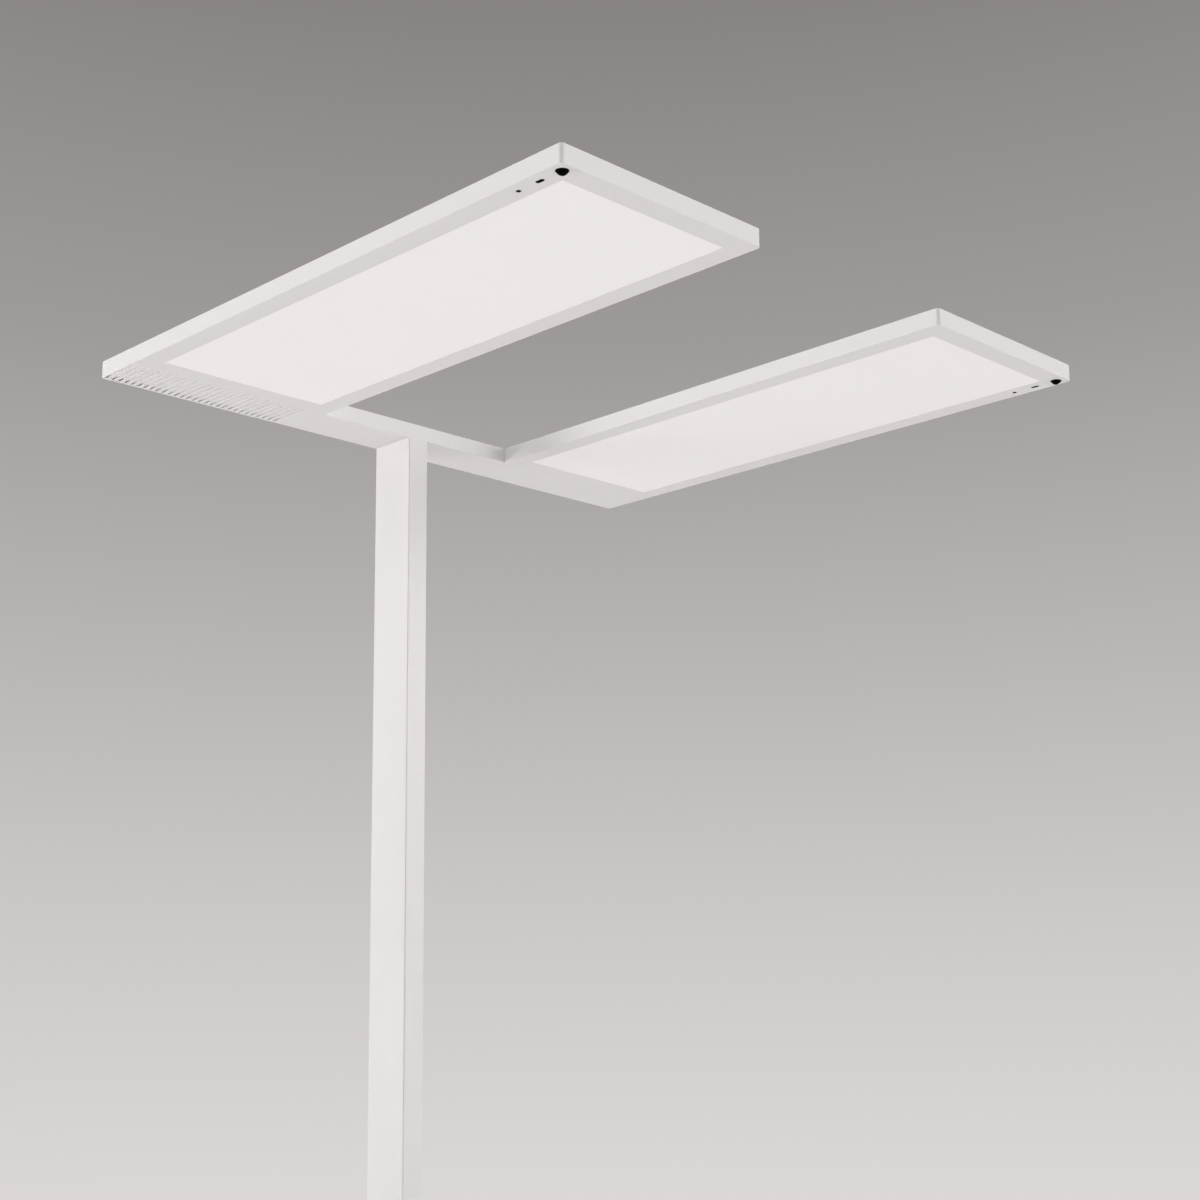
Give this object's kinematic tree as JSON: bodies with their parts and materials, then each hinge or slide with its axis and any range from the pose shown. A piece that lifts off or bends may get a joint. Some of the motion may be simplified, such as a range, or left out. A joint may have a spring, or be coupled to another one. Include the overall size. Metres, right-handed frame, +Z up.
{
  "type": "office floor lamp",
  "caption": "Free-standing office lamp: fork-shaped flat head with opal panels and sensors, slim post, flat base.",
  "frame": {"origin": "on the floor, midway between the head's sides and midway front to back", "axes": "+Z up along the post, +Y to the back where the post stands, the arms point to -Y, +X to the right seen from the front of the arms looking back"},
  "size_m": [1, 0.92, 1.95],
  "materials": {
    "housing_white": "fine matt powder coat, warm white",
    "base_white": "fine matt powder coat, warm white",
    "steel": "bright zinc plated",
    "screw_steel": "zinc plated",
    "foot_plastic": "moulded, fine grain",
    "opal_panel": "satin opal acrylic",
    "clear_guide": "clear acrylic, etched",
    "reflector_white": "matt white film",
    "backing_aluminium": "mill finish",
    "uplight_opal": "satin opal acrylic",
    "led_board": "white solder mask",
    "green_board": "green solder mask",
    "sensor_black": "moulded, polished",
    "loom_sleeve": "smooth sleeve",
    "bush_plastic": "moulded, fine grain",
    "terminal_plastic": "moulded, satin",
    "driver_case": "moulded, satin",
    "panel_plastic": "moulded, fine grain",
    "button_plastic": "moulded, fine grain"
  },
  "bodies": {
    "lamp": {"post": "housing_white", "crossbar_frame": "housing_white", "crossbar_lid": "housing_white", "arm_frame_left": "housing_white", "arm_frame_right": "housing_white", "arm_lid_left": "housing_white", "arm_lid_right": "housing_white", "base_plate": "base_white", "foot_block": "steel", "head_block": "steel", "mount_plate": "steel", "joint_bar_left": "steel", "joint_bar_right": "steel", "base_screws": "screw_steel", "head_screws": "screw_steel", "joint_screws": "screw_steel", "lid_screws": "screw_steel", "panel_left": "opal_panel", "panel_right": "opal_panel", "light_guide_left": "clear_guide", "light_guide_right": "clear_guide", "reflector_left": "reflector_white", "reflector_right": "reflector_white", "backing_plate_left": "backing_aluminium", "backing_plate_right": "backing_aluminium", "uplight_cover_left": "uplight_opal", "uplight_cover_right": "uplight_opal", "led_bars_left": "led_board", "led_bars_right": "led_board", "uplight_board_left": "led_board", "uplight_board_right": "led_board", "sensor_board_left": "green_board", "sensor_board_right": "green_board", "button_board": "green_board", "sensor_dome_left": "sensor_black", "sensor_dome_right": "sensor_black", "light_window_left": "sensor_black", "light_window_right": "sensor_black", "status_window_left": "sensor_black", "status_window_right": "sensor_black", "post_loom": "loom_sleeve", "crossbar_looms": "loom_sleeve", "arm_loom_left": "loom_sleeve", "arm_loom_right": "loom_sleeve", "cable_bush": "bush_plastic", "foot_terminal": "terminal_plastic", "head_terminal": "terminal_plastic", "driver": "driver_case", "control_module": "driver_case", "control_panel": "panel_plastic"},
    "foot_front_left": {"foot_pad_front_left": "foot_plastic", "foot_stud_front_left": "screw_steel"},
    "foot_front_right": {"foot_pad_front_right": "foot_plastic", "foot_stud_front_right": "screw_steel"},
    "foot_back_left": {"foot_pad_back_left": "foot_plastic", "foot_stud_back_left": "screw_steel"},
    "foot_back_right": {"foot_pad_back_right": "foot_plastic", "foot_stud_back_right": "screw_steel"},
    "button_upper": {"button_upper": "button_plastic"},
    "button_lower": {"button_lower": "button_plastic"}
  },
  "joints": [
    {"name": "foot_turn_front_left", "type": "hinge", "parent": "lamp", "child": "foot_front_left", "pos_m": [-0.26, 0.04, 0.008], "axis": [0, 0, -1], "range_deg": [0, 1152]},
    {"name": "foot_turn_front_right", "type": "hinge", "parent": "lamp", "child": "foot_front_right", "pos_m": [0.26, 0.04, 0.008], "axis": [0, 0, -1], "range_deg": [0, 1152]},
    {"name": "foot_turn_back_left", "type": "hinge", "parent": "lamp", "child": "foot_back_left", "pos_m": [-0.26, 0.42, 0.008], "axis": [0, 0, -1], "range_deg": [0, 1152]},
    {"name": "foot_turn_back_right", "type": "hinge", "parent": "lamp", "child": "foot_back_right", "pos_m": [0.26, 0.42, 0.008], "axis": [0, 0, -1], "range_deg": [0, 1152]},
    {"name": "press_upper", "type": "slide", "parent": "lamp", "child": "button_upper", "axis": [-1, 0, 0], "range_m": [0, 0.001], "stiffness_N_per_m": 1500, "springref_m": -0.001},
    {"name": "press_lower", "type": "slide", "parent": "lamp", "child": "button_lower", "axis": [-1, 0, 0], "range_m": [0, 0.001], "stiffness_N_per_m": 1500, "springref_m": -0.001}
  ]
}
